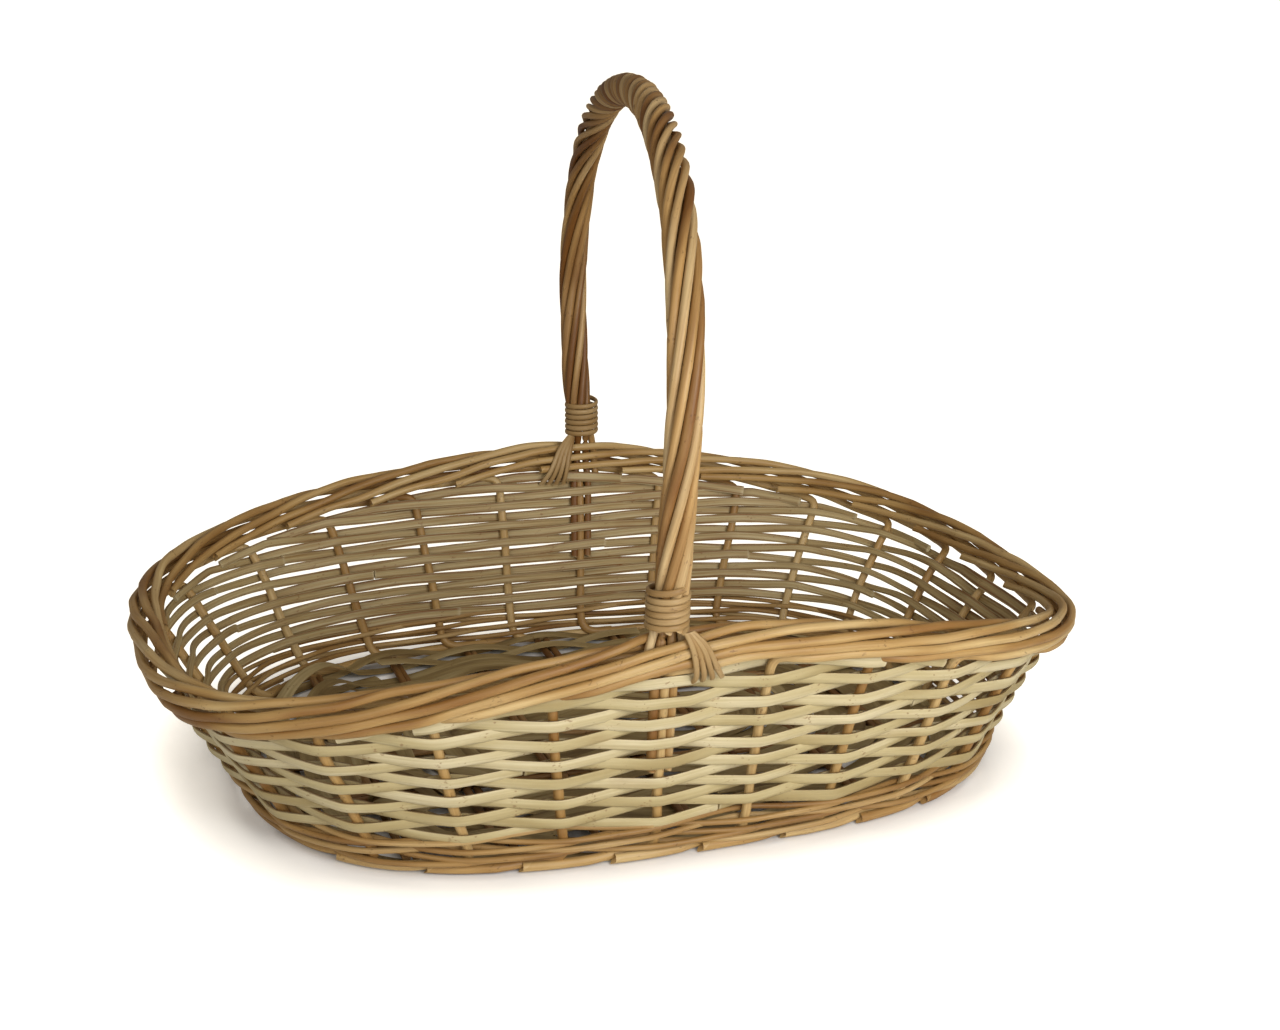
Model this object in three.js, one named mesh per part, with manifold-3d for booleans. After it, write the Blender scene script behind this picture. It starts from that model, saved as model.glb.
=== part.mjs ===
// An oval willow market basket with a fixed rope-twisted bow handle, in millimetres, +Z up.
// The basket stands on z = 0, its long way lies along X and the handle crosses it roughly along Y.
// Twenty-six stakes carry everything. Each one is a single rod: its butt lies along the foot, it turns up
// through the wale and the siding, and its tip is laid down along the rim as one rod of the border.
import * as THREE from "three";
import { mergeVertices } from "three/addons/utils/BufferGeometryUtils.js";
import Module from "manifold-3d";

// Driving dimensions.
const STAKES = 26;
const RIM_HALF_LENGTH = 280;
const RIM_HALF_WIDTH = 196;
const BASE_HALF_LENGTH = 231;
const BASE_HALF_WIDTH = 169;
const OVAL_EXPONENT = 3; // 2 is an ellipse, higher is squarer
const RIM_MIDDLE_Z = 135; // border's centre line beside the handle
const RIM_END_Z = 91; // and at the two low ends
const RIM_FALL_EXPONENT = 1.33;
const HANDLE_OFFSET_X = 40; // the legs stand this far either side of the middle
const GAP = 0.3; // between any two rods

const STAKE_RADIUS = 2.5;
const FOOT_RADIUS = 3.1;
const FOOT_RUN = 1.5; // stake spacings that each butt lies along the foot
const BEND_START = 0.14; // stake spacings over which a stake turns upright
const BEND_RISE = 2.4;
const UPRIGHT_BOTTOM_Z = 10;
const UPRIGHT_TOP = 16; // below the rim, where a stake starts to lean over into the border
const STAKE_SIDES = 5;

const WEAVER_HEIGHT = 5.9;
const WEAVER_THICKNESS = 3.2;
const ROW_PITCH = 6.3;
const FIRST_ROW_Z = 25.6;
const FULL_ROWS = 9;
const PACKING_ROWS = 5; // extra rows that build up each long side under the handle
const WEAVER_SWING = STAKE_RADIUS + WEAVER_THICKNESS / 2 + 2 * GAP;
const BORDER_UNDERSIDE = 14; // below the border's centre line

const WALE_RADIUS = 2.1;
const WALE_TURNS = 2;
const WALE_FIRST_Z = 10.8;
const WALE_PITCH = 4.6;

const STICK_WIDTH = 7;
const LONG_STICK_THICKNESS = 2.8;
const SHORT_STICK_THICKNESS = 3.2; // slit in the middle for the long sticks
const LONG_STICKS = [-56, 0, 56];
const SHORT_STICKS = [-165, -110, -55, 0, 55, 110, 165];
const BASE_WEAVE_Z = 1.6;
const BASE_WEAVE_THICKNESS = 5.8;
const BASE_EDGE = -4.4; // the base weave ends this far inside the ring of stakes

const HANDLE_TOP_Z = 405.5; // bow's centre line
const HANDLE_SPRING_Z = 250; // where the legs start to curve over
const HANDLE_HALF_SPAN = 216;
const BOW_EXPONENT = 2.09;
const BOW_SWAY = [5.5, -12.87, -21.07, 11.87, 16.27]; // bend out of its plane, a polynomial from leg to leg
const STRANDS = 8;
const STRAND_RADIUS = 2.4;
const CORE_RADIUS = 4.2;
const CORE_END_Z = 182; // both ends of the core stop above the lashings
const STRAND_RING = 7.8;
const LASHED_RING = 7.15;
const HANDLE_TURNS = 4.5; // of the rope, from one lashing to the other
const LASHING_RADIUS = 1.4;
const LASHING_TURNS = 6;
const LASHING_BOTTOM_Z = 152;
const LASHING_TOP_Z = 172;
const ROPE_OPEN_Z = 188; // above here the strands stand at their full ring
const LEG_TIP_Z = 62;
const BOW_STEPS = 38;

// A rod's route through given points. The rod's section keeps its own x along `up` and its y along `side`
// at each point, and is as many times its drawn size there as `scale` says.
class Route extends THREE.Curve {
  constructor(knots) {
    super();
    this.knots = knots;
  }
  getPoint(t, target = new THREE.Vector3()) {
    const at = t * (this.knots.length - 1);
    const i = Math.min(Math.floor(at + 1e-9), this.knots.length - 2);
    return target.lerpVectors(this.knots[i].point, this.knots[i + 1].point, at - i);
  }
  getPointAt(t, target) {
    return this.getPoint(t, target);
  }
  directionAt(i) {
    const points = this.knots.map((knot) => knot.point);
    const sum = new THREE.Vector3();
    if (i > 0) sum.add(points[i].clone().sub(points[i - 1]).normalize());
    if (i < points.length - 1) sum.add(points[i + 1].clone().sub(points[i]).normalize());
    return sum.normalize();
  }
  computeFrenetFrames() {
    const tangents = this.knots.map((knot, i) => this.directionAt(i));
    const binormals = this.knots.map((knot, i) =>
      knot.side.clone().addScaledVector(tangents[i], -knot.side.dot(tangents[i])).normalize(),
    );
    const normals = binormals.map((side, i) => side.clone().cross(tangents[i]));
    this.knots.forEach((knot, i) => {
      binormals[i].multiplyScalar(knot.scale ?? 1);
      normals[i].multiplyScalar(knot.scale ?? 1);
    });
    return { tangents, normals, binormals };
  }
}

// Sections: `upright` is the size along the wall, `across` the size through it.
function polygonSection(radius, sides) {
  const points = [];
  for (let i = 0; i < sides; i++) {
    const angle = (2 * Math.PI * (i + 0.5)) / sides + Math.PI;
    points.push(new THREE.Vector2(radius * Math.cos(angle), radius * Math.sin(angle)));
  }
  return new THREE.Shape(points);
}

function flatSection(upright, across) {
  const shape = new THREE.Shape();
  shape.moveTo(-upright / 2, -across / 2);
  shape.lineTo(upright / 2, -across / 2);
  shape.lineTo(upright / 2, across / 2);
  shape.lineTo(-upright / 2, across / 2);
  return shape;
}

function sweep(section, knots) {
  const options = { steps: knots.length - 1, extrudePath: new Route(knots), bevelEnabled: false };
  return new THREE.ExtrudeGeometry(section, options);
}

// The wall: a straight line at each place u from the base oval up to the rim. u counts stakes, from the
// front handle leg towards +X, and is even along the oval at half height.
const startAngle = -Math.PI / 2 - Math.atan(HANDLE_OFFSET_X / RIM_HALF_LENGTH);

function ovalPoint(halfLength, halfWidth, angle) {
  const c = Math.cos(angle);
  const s = Math.sin(angle);
  const reach = (Math.abs(c) ** OVAL_EXPONENT + Math.abs(s) ** OVAL_EXPONENT) ** (-1 / OVAL_EXPONENT);
  return new THREE.Vector3(halfLength * reach * c, halfWidth * reach * s, 0);
}

const arc = measureOval((RIM_HALF_LENGTH + BASE_HALF_LENGTH) / 2, (RIM_HALF_WIDTH + BASE_HALF_WIDTH) / 2);
const STAKE_SPACING = arc.lengths.at(-1) / STAKES;

function measureOval(halfLength, halfWidth) {
  const samples = 1440;
  const angles = [startAngle];
  const lengths = [0];
  let last = ovalPoint(halfLength, halfWidth, startAngle);
  for (let i = 1; i <= samples; i++) {
    const angle = startAngle + (2 * Math.PI * i) / samples;
    const point = ovalPoint(halfLength, halfWidth, angle);
    angles.push(angle);
    lengths.push(lengths[i - 1] + point.distanceTo(last));
    last = point;
  }
  return { angles, lengths };
}

function angleAt(u) {
  const turns = Math.floor(u / STAKES);
  const wanted = (u / STAKES - turns) * arc.lengths.at(-1);
  const i = Math.max(1, arc.lengths.findIndex((length) => length >= wanted));
  const part = (wanted - arc.lengths[i - 1]) / (arc.lengths[i] - arc.lengths[i - 1]);
  return THREE.MathUtils.lerp(arc.angles[i - 1], arc.angles[i], part) + 2 * Math.PI * turns;
}

function rimHeight(u) {
  const x = ovalPoint(1, 1, angleAt(u)).x;
  return RIM_END_Z + (RIM_MIDDLE_Z - RIM_END_Z) * (1 - Math.abs(x) ** RIM_FALL_EXPONENT);
}

function rimPoint(u) {
  return ovalPoint(RIM_HALF_LENGTH, RIM_HALF_WIDTH, angleAt(u)).setZ(rimHeight(u));
}

function basePoint(u) {
  return ovalPoint(BASE_HALF_LENGTH, BASE_HALF_WIDTH, angleAt(u));
}

const UP = new THREE.Vector3(0, 0, 1);

function along(curvePoint, u) {
  const step = 0.02;
  return curvePoint(u + step).sub(curvePoint(u - step)).setZ(0).normalize();
}

function outward(curvePoint, u) {
  return along(curvePoint, u).cross(UP);
}

// Places in the foot, in the leaning wall and in the border, with the side that faces out of the basket.
function inFoot(u, out, z) {
  const side = outward(basePoint, u);
  return { point: basePoint(u).addScaledVector(side, out).setZ(z), side };
}

function inWall(u, z, out) {
  const foot = basePoint(u);
  const rim = rimPoint(u);
  const side = along(rimPoint, u).cross(rim.clone().sub(foot).normalize()).normalize();
  return { point: foot.lerp(rim, z / rim.z).addScaledVector(side, out), side };
}

function inBorder(u, out, height) {
  const rim = rimPoint(u);
  const slope = rim.clone().sub(basePoint(u)).normalize();
  const side = along(rimPoint, u).cross(slope).normalize();
  return { point: rim.addScaledVector(side, out).addScaledVector(slope, height), side };
}

// One stake. The border's rods climb the rim's outer face, cross over its top and end inside.
const BORDER_ROUTE = [
  [0.02, 0.4, -12.4],
  [0.09, 2.4, -10.9],
  [0.25, 6.3, -10.8],
  [0.5, 6.6, -9.2],
  [1, 6.6, -5.9],
  [1.5, 6.6, -2.6],
  [2, 6.6, 0.7],
  [2.5, 6.6, 4],
  [3, 6.6, 7.3],
  [3.3, 6.2, 9],
  [3.5, 0, 11.4],
  [3.7, -6.2, 9],
  [4, -6.6, 6.4],
  [4.2, -6.6, 5],
];

function stakeGeometry(k) {
  const footZ = FOOT_RADIUS * Math.cos(Math.PI / STAKE_SIDES);
  const thick = { scale: FOOT_RADIUS / STAKE_RADIUS };
  const knots = [
    { ...inFoot(k - FOOT_RUN, 7.6, footZ), ...thick },
    { ...inFoot(k - 1, 7.2, footZ), ...thick },
    { ...inFoot(k - 0.5, 0.9, footZ), ...thick },
    { ...inFoot(k - BEND_START, 0, footZ), ...thick },
    inFoot(k - BEND_START / 4, 0, footZ + BEND_RISE),
    inWall(k, UPRIGHT_BOTTOM_Z, 0),
    inWall(k, rimHeight(k) - UPRIGHT_TOP, 0),
  ];
  BORDER_ROUTE.forEach(([ahead, out, height]) => knots.push(inBorder(k + ahead, out, height)));
  return sweep(polygonSection(STAKE_RADIUS, STAKE_SIDES), knots);
}

// Weavers go inside one stake and outside the next, and the next row does the opposite.
function isInside(k, row) {
  return (k + row) % 2 !== 0;
}

function weaverGeometry(row, from, to) {
  const z = FIRST_ROW_Z + ROW_PITCH * row;
  const knots = [inWall(from, z, -WEAVER_SWING)];
  for (let half = Math.ceil(2 * from + 0.1); half < 2 * to - 0.1; half++) {
    const swing = half % 2 ? 0 : isInside(half / 2, row) ? -WEAVER_SWING : WEAVER_SWING;
    knots.push(inWall(half / 2, z, swing));
  }
  knots.push(inWall(to, z, -WEAVER_SWING));
  return sweep(flatSection(WEAVER_HEIGHT, WEAVER_THICKNESS), knots);
}

function fullRowGeometry(row) {
  const jointGap = 0.02; // the butt and the tip meet end to end behind a stake
  const start = 7 * row + (isInside(7 * row, row) ? 0 : 1);
  return weaverGeometry(row, start + jointGap, start + STAKES - jointGap);
}

function clearsBorder(u, row) {
  const top = FIRST_ROW_Z + ROW_PITCH * row + WEAVER_HEIGHT / 2;
  return top < rimHeight(u) - BORDER_UNDERSIDE;
}

// A packing row starts and ends behind the last stakes where it still fits under the falling border.
function packingRowGeometry(row, middle) {
  const overhang = 0.28;
  const reach = [-1, 1].map((way) => {
    let stake = middle;
    for (let k = middle; clearsBorder(k + way * (overhang + 0.1), row); k += way)
      if (isInside(k, row)) stake = k;
    return stake + way * overhang;
  });
  return weaverGeometry(row, reach[0], reach[1]);
}

// The wale's rod goes round between the foot and the siding.
function waleGeometry() {
  const swing = STAKE_RADIUS + WALE_RADIUS + 2 * GAP;
  const knots = [];
  for (let half = 0; half < 2 * STAKES * WALE_TURNS - 1; half++) {
    const u = half / 2 + 0.5;
    const z = WALE_FIRST_Z + (WALE_PITCH * u) / STAKES;
    const out = Number.isInteger(u) ? (u % 2 ? swing : -swing) : 0;
    knots.push(inWall(u, z, out));
  }
  return sweep(flatSection(2 * WALE_RADIUS, 2 * WALE_RADIUS), knots);
}

// Base: long sticks threaded through the short ones, in tunnels of the woven oval.
const wasm = await Module();
wasm.setup();

function toSolid(geometry) {
  const bare = geometry.clone();
  bare.deleteAttribute("normal");
  bare.deleteAttribute("uv");
  const merged = mergeVertices(bare, 1e-4);
  const vertProperties = merged.attributes.position.array;
  const triVerts = new Uint32Array(merged.index.array);
  return new wasm.Manifold(new wasm.Mesh({ numProp: 3, vertProperties, triVerts }));
}

function toGeometry(solid) {
  const mesh = solid.getMesh();
  const geometry = new THREE.BufferGeometry();
  geometry.setAttribute("position", new THREE.BufferAttribute(mesh.vertProperties, 3));
  geometry.setIndex(new THREE.BufferAttribute(mesh.triVerts, 1));
  geometry.computeVertexNormals();
  return geometry;
}

function baseHalf(halfLength, halfWidth, offset) {
  return halfWidth * (1 - (Math.abs(offset) / halfLength) ** OVAL_EXPONENT) ** (1 / OVAL_EXPONENT);
}

function sticksSolid(extra) {
  const z = BASE_WEAVE_Z + BASE_WEAVE_THICKNESS / 2;
  const endGap = -BASE_EDGE + 2;
  const width = STICK_WIDTH + 2 * extra;
  const sticks = [];
  for (const y of LONG_STICKS) {
    const half = baseHalf(BASE_HALF_WIDTH, BASE_HALF_LENGTH, y) - endGap + 20 * extra;
    sticks.push(new THREE.BoxGeometry(2 * half, width, LONG_STICK_THICKNESS + 2 * extra).translate(0, y, z));
  }
  for (const x of SHORT_STICKS) {
    const half = baseHalf(BASE_HALF_LENGTH, BASE_HALF_WIDTH, x) - endGap + 20 * extra;
    sticks.push(new THREE.BoxGeometry(width, 2 * half, SHORT_STICK_THICKNESS + 2 * extra).translate(x, 0, z));
  }
  return sticks.map(toSolid).reduce((all, stick) => all.add(stick));
}

function baseWeaveGeometry() {
  const outline = [];
  for (let u = 0; u < STAKES; u += 0.5) {
    const { point } = inFoot(u, BASE_EDGE, 0);
    outline.push(new THREE.Vector2(point.x, point.y));
  }
  const options = { depth: BASE_WEAVE_THICKNESS, bevelEnabled: false };
  const plate = new THREE.ExtrudeGeometry(new THREE.Shape(outline), options);
  plate.translate(0, 0, BASE_WEAVE_Z);
  return toGeometry(toSolid(plate).subtract(sticksSolid(GAP)));
}

// Handle bow: its centre line in the upright plane through stakes 0 and 13, from the front leg over the
// top to the rear leg. reach is the distance from the middle, positive at the front.
const frontWay = rimPoint(0).setZ(0).normalize();
const rimReach = rimPoint(0).setZ(0).length();
const planeNormal = UP.clone().cross(frontWay);

function bowPoint(reach, z) {
  return frontWay.clone().multiplyScalar(reach).setZ(z);
}

function legReach(z) {
  return THREE.MathUtils.mapLinear(z, RIM_MIDDLE_Z, HANDLE_SPRING_Z, rimReach, HANDLE_HALF_SPAN);
}

// The bow's line from the bottom of one lashing to the bottom of the other, evenly spaced.
function bowLine() {
  const footReach = legReach(LASHING_BOTTOM_Z);
  const points = [bowPoint(footReach, LASHING_BOTTOM_Z)];
  const arcSteps = 48;
  for (let i = 0; i <= arcSteps; i++) {
    const angle = (Math.PI * i) / arcSteps;
    const c = Math.cos(angle);
    const s = Math.sin(angle);
    const r = (Math.abs(c) ** BOW_EXPONENT + s ** BOW_EXPONENT) ** (-1 / BOW_EXPONENT);
    const rise = HANDLE_TOP_Z - HANDLE_SPRING_Z;
    points.push(bowPoint(HANDLE_HALF_SPAN * r * c, HANDLE_SPRING_Z + rise * r * s));
  }
  points.push(bowPoint(-footReach, LASHING_BOTTOM_Z));
  const path = new THREE.CurvePath();
  points.slice(1).forEach((point, i) => path.add(new THREE.LineCurve3(points[i], point)));
  const line = path.getSpacedPoints(BOW_STEPS);
  line.forEach((point, i) => {
    const q = (2 * i) / BOW_STEPS - 1;
    const sway = BOW_SWAY.reduce((sum, amount, power) => sum + amount * q ** power, 0);
    point.addScaledVector(planeNormal, sway);
  });
  return line;
}

function bowFrame(line, i) {
  const before = line[Math.max(i - 1, 0)];
  const after = line[Math.min(i + 1, line.length - 1)];
  const ahead = after.clone().sub(before).normalize();
  return { ahead, outer: planeNormal.clone().cross(ahead) };
}

// The rope is laid slackly on the legs and tightly over the top. done runs from 0 to 1 along the bow.
function ropeAngle(done) {
  const q = 2 * done - 1;
  return Math.PI * HANDLE_TURNS * (q + (0.6 * Math.sin(Math.PI * q)) / Math.PI);
}

function ringRadius(z) {
  const opened = THREE.MathUtils.smoothstep(z, LASHING_TOP_Z, ROPE_OPEN_Z);
  return THREE.MathUtils.lerp(LASHED_RING, STRAND_RING, opened);
}

// Below its lashing a leg spreads into a flat fan of four strands, which drop through the middle of the
// border and then lie down the inside of the wall. The four strands that face outwards stop at the lashing.
const FAN_PITCH = 5.8;
const LEG_INSET = 10.4; // inside the middle of the wall
const LEG_ROUTE = [
  [0, 12],
  [0, 0],
  [-3.2, -3.6],
  [-LEG_INSET, -9.6],
];

function legKnots(sector, stake) {
  const lane = STRANDS / 2 - 0.5 - sector;
  if (Math.abs(lane) > 2) return [];
  const u = stake + (lane * FAN_PITCH) / STAKE_SPACING;
  const knots = LEG_ROUTE.map(([out, height]) => inBorder(u, out, height));
  knots.push(inWall(u, LEG_TIP_Z, -LEG_INSET));
  return knots;
}

function strandGeometry(strand) {
  const line = bowLine();
  const endSector = (strand + Math.round(HANDLE_TURNS * STRANDS)) % STRANDS;
  const first = ropeAngle(0);
  const knots = line.map((centre, i) => {
    const { ahead, outer } = bowFrame(line, i);
    const angle = (2 * Math.PI * (strand + 0.5)) / STRANDS + ropeAngle(i / BOW_STEPS) - first;
    const across = ahead.clone().cross(outer);
    const side = outer.multiplyScalar(Math.cos(angle)).addScaledVector(across, Math.sin(angle));
    return { point: centre.clone().addScaledVector(side, ringRadius(centre.z)), side };
  });
  const frontLeg = legKnots(strand, 0).reverse();
  const rearLeg = legKnots(STRANDS - 1 - endSector, STAKES / 2);
  return sweep(polygonSection(STRAND_RADIUS, 5), [...frontLeg, ...knots, ...rearLeg]);
}

function coreGeometry() {
  const line = bowLine().filter((point) => point.z > CORE_END_Z);
  const knots = line.map((point) => ({ point, side: planeNormal }));
  return sweep(polygonSection(CORE_RADIUS, 5), knots);
}

// A lashing: a thin rod that comes up over the border and winds round the leg. Both tails face the
// same way, so the front one lies down the outside of the wall and the rear one down the inside.
const LASHING_START = 0.12; // of a turn, from the side of the leg that faces out
const LASHING_TAIL = [
  [23, 11, -15],
  [21, 11, -2],
  [18, 10.8, 10],
  [13.5, 7.5, 16.4],
];

function lashingGeometry(stake) {
  const way = stake ? -1 : 1;
  const radius = LASHED_RING + STRAND_RADIUS + 2 * GAP + LASHING_RADIUS;
  const knots = LASHING_TAIL.map(([aside, out, height]) =>
    inBorder(stake + aside / STAKE_SPACING, way * out, height),
  );
  const stepsPerTurn = 8;
  const outer = frontWay.clone().multiplyScalar(way);
  const right = UP.clone().cross(outer);
  const line = bowLine();
  const [foot, above] = way > 0 ? line : line.reverse();
  for (let i = 0; i <= stepsPerTurn * LASHING_TURNS; i++) {
    const turn = i / stepsPerTurn;
    const z = THREE.MathUtils.lerp(LASHING_BOTTOM_Z, LASHING_TOP_Z, turn / LASHING_TURNS);
    const angle = 2 * Math.PI * (turn + LASHING_START);
    const side = outer.clone().multiplyScalar(Math.cos(angle)).addScaledVector(right, Math.sin(angle));
    const centre = foot.clone().lerp(above, (z - foot.z) / (above.z - foot.z));
    knots.push({ point: centre.addScaledVector(side, radius), side });
  }
  return sweep(polygonSection(LASHING_RADIUS, 4), knots);
}

// Materials.
function willow(colour, roughness) {
  return new THREE.MeshStandardMaterial({ color: colour, roughness, metalness: 0 });
}

const buffWillow = willow(0xb28a52, 0.6);
const whiteWillow = willow(0xd6c694, 0.65);
const waleWillow = willow(0xbd9c63, 0.6);
const stickWillow = willow(0x8f6f42, 0.75);
const lashingWillow = willow(0xc7a671, 0.6);

const basket = new THREE.Group();

function add(name, geometry, material) {
  const mesh = new THREE.Mesh(geometry, material);
  mesh.name = name;
  basket.add(mesh);
}

function numbered(name, i) {
  return name + "_" + String(i + 1).padStart(2, "0");
}

for (let k = 0; k < STAKES; k++) add(numbered("stake", k), stakeGeometry(k), buffWillow);
add("upsett_wale", waleGeometry(), waleWillow);
for (let row = 0; row < FULL_ROWS; row++) add(numbered("weaver", row), fullRowGeometry(row), whiteWillow);
for (let i = 0; i < PACKING_ROWS; i++) {
  add(numbered("front_packing", i), packingRowGeometry(FULL_ROWS + i, 0), whiteWillow);
  add(numbered("rear_packing", i), packingRowGeometry(FULL_ROWS + i, STAKES / 2), whiteWillow);
}
add("base_sticks", toGeometry(sticksSolid(0)), stickWillow);
add("base_weave", baseWeaveGeometry(), whiteWillow);
add("handle_core", coreGeometry(), buffWillow);
for (let i = 0; i < STRANDS; i++) add("handle_strand_" + (i + 1), strandGeometry(i), buffWillow);
add("lashing_front", lashingGeometry(0), lashingWillow);
add("lashing_rear", lashingGeometry(STAKES / 2), lashingWillow);

export default basket;
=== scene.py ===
import math
import random

import bmesh
import bpy
import numpy as np
from mathutils import Matrix, Vector


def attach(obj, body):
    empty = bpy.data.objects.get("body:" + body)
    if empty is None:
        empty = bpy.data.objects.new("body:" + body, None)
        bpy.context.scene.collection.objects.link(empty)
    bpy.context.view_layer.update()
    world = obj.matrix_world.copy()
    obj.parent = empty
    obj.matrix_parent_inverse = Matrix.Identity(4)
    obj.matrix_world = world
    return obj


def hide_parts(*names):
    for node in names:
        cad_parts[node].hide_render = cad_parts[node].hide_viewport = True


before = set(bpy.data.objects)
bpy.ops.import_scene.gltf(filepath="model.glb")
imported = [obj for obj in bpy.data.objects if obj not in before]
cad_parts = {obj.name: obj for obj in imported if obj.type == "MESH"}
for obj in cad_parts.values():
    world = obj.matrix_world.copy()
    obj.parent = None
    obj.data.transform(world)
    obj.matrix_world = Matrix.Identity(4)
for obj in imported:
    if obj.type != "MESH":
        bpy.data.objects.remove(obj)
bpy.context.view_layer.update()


# The base sticks: thick brown willow rods, laid in pairs across the oval base, with three more pairs
# running the long way. They carry the woven base and hold the two ends of the oval apart.
MM = 0.001
dice = random.Random(26)
bpy.ops.object.select_all(action="DESELECT")


def colour(red, green, blue):
    """A colour given on a 0 to 255 scale, as the shader wants it."""
    return tuple((level / 255) ** 2.2 for level in (red, green, blue)) + (1,)


def select_where(rod, test):
    """Leaves selected, in edit mode, only the corner points whose place passes the test."""
    bpy.ops.mesh.select_all(action="DESELECT")
    net = bmesh.from_edit_mesh(rod.data)
    for corner in net.verts:
        corner.select = test(corner.co)
    net.select_flush(True)
    bmesh.update_edit_mesh(rod.data)


def select_long_edges(rod):
    """Leaves selected, in edit mode, only the edges that run along the rod."""
    bpy.ops.mesh.select_all(action="DESELECT")
    net = bmesh.from_edit_mesh(rod.data)
    for edge in net.edges:
        if abs(edge.verts[0].co.z - edge.verts[1].co.z) > 1e-6:
            edge.select = True
    bmesh.update_edit_mesh(rod.data)


ROUND_SIDES = {"round": 12, "split": 14, "skein": 8}
straight_rods = {}


def straight_rod(cuts, kind):
    """A straight rod one unit long and one unit in radius, cut across into cuts[0] x cuts[1] lengths.
    kind is round, split (round outside, flat inside, with a pith groove) or skein (a thin flat strip)."""
    if (cuts, kind) in straight_rods:
        return straight_rods[cuts, kind]
    sides = ROUND_SIDES[kind]
    bpy.ops.object.select_all(action="DESELECT")
    bpy.ops.mesh.primitive_cylinder_add(
        vertices=sides, radius=1, depth=1, location=(0, 0, 0.5), rotation=(0, 0, math.pi / sides)
    )
    bpy.ops.object.transform_apply(location=True, rotation=True, scale=True)
    rod = bpy.context.object
    bpy.ops.object.mode_set(mode="EDIT")
    bpy.ops.mesh.select_mode(type="EDGE")
    for count in cuts:
        select_long_edges(rod)
        if count > 1:
            bpy.ops.mesh.subdivide(number_cuts=count - 1)
    bpy.ops.mesh.select_mode(type="VERT")
    if kind == "split":
        # The inner half pressed to a flat face, then the groove of the pith, then the round skin.
        select_where(rod, lambda place: place.y < 0)
        bpy.ops.transform.resize(value=(0.76, 0.12, 1), center_override=(0, 0, 0))
        bpy.ops.transform.translate(value=(0, -0.78, 0))
        select_where(rod, lambda place: place.y < 0 and abs(place.x) < 0.3)
        bpy.ops.transform.translate(value=(0, 0.22, 0))
        select_where(rod, lambda place: place.y > 0)
        bpy.ops.transform.resize(value=(1, 1.15, 1), center_override=(0, 0, 0))
        bpy.ops.transform.translate(value=(0, -0.3, 0))
    if kind == "skein":
        bpy.ops.mesh.select_all(action="SELECT")
        bpy.ops.transform.resize(value=(1.08, 1, 1), center_override=(0, 0, 0))
    bpy.ops.object.mode_set(mode="OBJECT")
    rod.name = "straight_" + kind
    rod.hide_render = True
    straight_rods[cuts, kind] = rod
    return rod


def read_rows(at, places, rows):
    """The rows' values, column by column, at those places along them."""
    return np.stack([np.interp(at, places, column) for column in rows.T], -1)


def even(points, sides, step):
    """The same line with its points an even step apart. A fourth column is carried along."""
    gaps = np.linalg.norm(np.diff(points[:, :3], axis=0), axis=1)
    reach = np.concatenate([[0], np.cumsum(gaps)])
    wanted = np.linspace(0, reach[-1], max(int(reach[-1] / step), 2) + 1)
    return read_rows(wanted, reach, points), read_rows(wanted, reach, sides)


def soften(points, width):
    """Rounds a line's corners over that many points each way. The two ends stay where they are."""
    weights = np.exp(-0.5 * (np.arange(-2 * width, 2 * width + 1) / width) ** 2)
    weights /= weights.sum()
    pad = 2 * width
    first = 2 * points[0] - points[pad:0:-1]
    last = 2 * points[-1] - points[-2 : -pad - 2 : -1]
    long = np.concatenate([first, points, last])
    return np.stack([np.convolve(long[:, i], weights, mode="valid") for i in range(3)], -1)


def wander(count, step, amount):
    """A slow random change along a rod: one value a point, turning about every `step` points."""
    turns = max(int(count / step) + 3, 4)
    values = np.array([dice.uniform(-1, 1) for _ in range(turns)])
    place = np.linspace(0, turns - 1.001, count)
    low = np.floor(place).astype(int)
    part = place - low
    part = part * part * (3 - 2 * part)
    return amount * (values[low] * (1 - part) + values[low + 1] * part)


def unit(rows):
    return rows / np.linalg.norm(rows, axis=1)[:, None]


FIRST_BUD = (5, 50)
BUD_GAP = (38, 85)
BUD_LENGTH = 3.2


def buds_along(reach):
    """How much each point, that far along a rod, is part of one of its buds, from 0 to 1."""
    near = np.zeros(len(reach))
    place = dice.uniform(*FIRST_BUD)
    while place < reach[-1]:
        near = np.maximum(near, np.exp(-((reach - place) / BUD_LENGTH) ** 2))
        place += dice.uniform(*BUD_GAP)
    return near


CUTS = {8: (8, 1), 24: (24, 1), 60: (60, 1), 120: (12, 10), 240: (24, 10), 480: (24, 20)}
GRAIN_ROOM = 3000


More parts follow.
